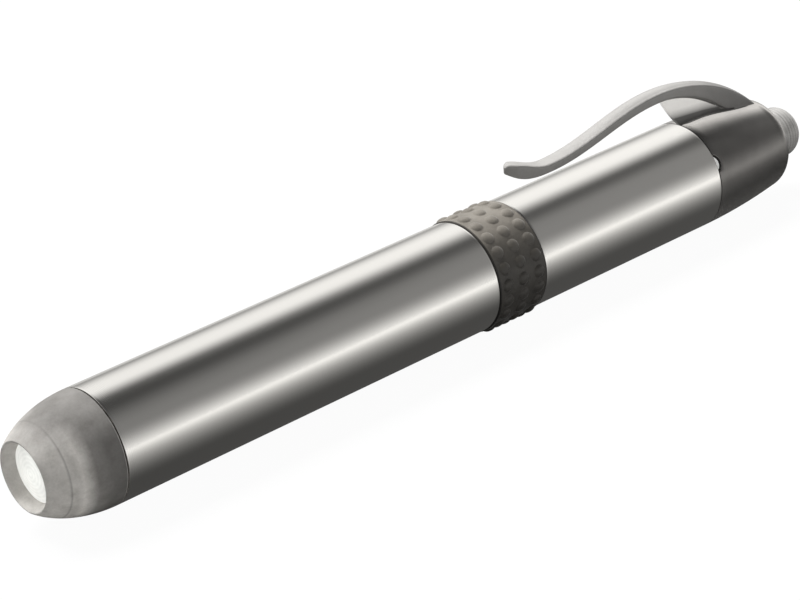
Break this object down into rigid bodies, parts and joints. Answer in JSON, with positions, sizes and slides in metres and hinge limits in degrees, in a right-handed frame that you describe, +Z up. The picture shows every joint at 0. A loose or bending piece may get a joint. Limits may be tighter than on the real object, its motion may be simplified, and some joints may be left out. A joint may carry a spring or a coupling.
{
  "type": "penlight",
  "caption": "Pocket penlight: metal tube with a bumped rubber grip ring, screw-off smoky nose, pocket clip and tail button.",
  "frame": {"origin": "on the surface that the pen lies on, under the middle of its whole length and under its axis", "axes": "+X along the pen from nose to tail, +Z up through the pocket clip, +Y to the left of the pen seen from the tail"},
  "size_m": [0.1234, 0.0148, 0.0206],
  "materials": {
    "brushed_metal": "fine circumferential turning lines, bright",
    "grip_rubber": "matt moulded rubber with round bumps",
    "smoky_hood": "frosted smoke-grey translucent plastic",
    "smoky_cap": "dark smoke-grey satin plastic",
    "clear_plastic": "clear moulded lens",
    "frosted_plastic": "frosted translucent plastic with fine turning lines",
    "mirror_plastic": "metallised plastic bowl",
    "emitter": "clear resin over a yellow die",
    "white_plastic": "moulded",
    "black_plastic": "moulded",
    "board": "solder mask",
    "brass": "plain",
    "spring_steel": "bright wire",
    "cell_can": "printed film over a can",
    "seal_rubber": "matt"
  },
  "bodies": {
    "barrel": {"barrel_tube": "brushed_metal", "grip_ring": "grip_rubber", "neck_collar": "black_plastic", "nose_seal": "seal_rubber", "insulating_sleeve": "white_plastic", "tail_bush": "brushed_metal", "cap_seal": "seal_rubber", "tail_cap": "smoky_cap", "tail_spring": "spring_steel", "switch_housing": "white_plastic", "switch_contact": "brass", "contact_strip": "brass", "retaining_ring": "spring_steel", "switch_spring": "spring_steel", "button_seal": "seal_rubber"},
    "core": {"reflector": "mirror_plastic", "led_emitter": "emitter", "led_leads": "spring_steel", "led_holder": "white_plastic", "driver_board": "board", "driver_chip": "black_plastic", "inductor": "black_plastic", "front_contact": "brass", "earth_ring": "brass", "cell_front": "cell_can", "cell_rear": "cell_can"},
    "hood": {"nose_hood": "smoky_hood", "front_lens": "clear_plastic"},
    "button": {"push_button": "frosted_plastic", "switch_plunger": "brass"},
    "rotor": {"ratchet_rotor": "white_plastic"}
  },
  "joints": [
    {"name": "core_slide", "type": "slide", "parent": "barrel", "child": "core", "axis": [-1, 0, 0], "range_m": [0, 0.003], "deforming": ["tail_spring"]},
    {"name": "hood_turn", "type": "hinge", "parent": "core", "child": "hood", "pos_m": [-0.05275, 0, 0.00739], "axis": [-1, 0, 0], "range_deg": [0, 1080]},
    {"name": "button_press", "type": "slide", "parent": "barrel", "child": "button", "axis": [-1, 0, 0], "range_m": [0, 0.0015], "stiffness_N_per_m": 600, "springref_m": -0.0005, "deforming": ["switch_spring"]},
    {"name": "rotor_index", "type": "hinge", "parent": "button", "child": "rotor", "pos_m": [0.05025, 0, 0.00739], "axis": [1, 0, 0], "range_deg": [0, 45]}
  ],
  "couplings": [
    {"joint": "hood_turn", "follows": "core_slide", "rad_per_m": 6283.2},
    {"joint": "rotor_index", "follows": "button_press", "rad_per_m": 523.6}
  ]
}
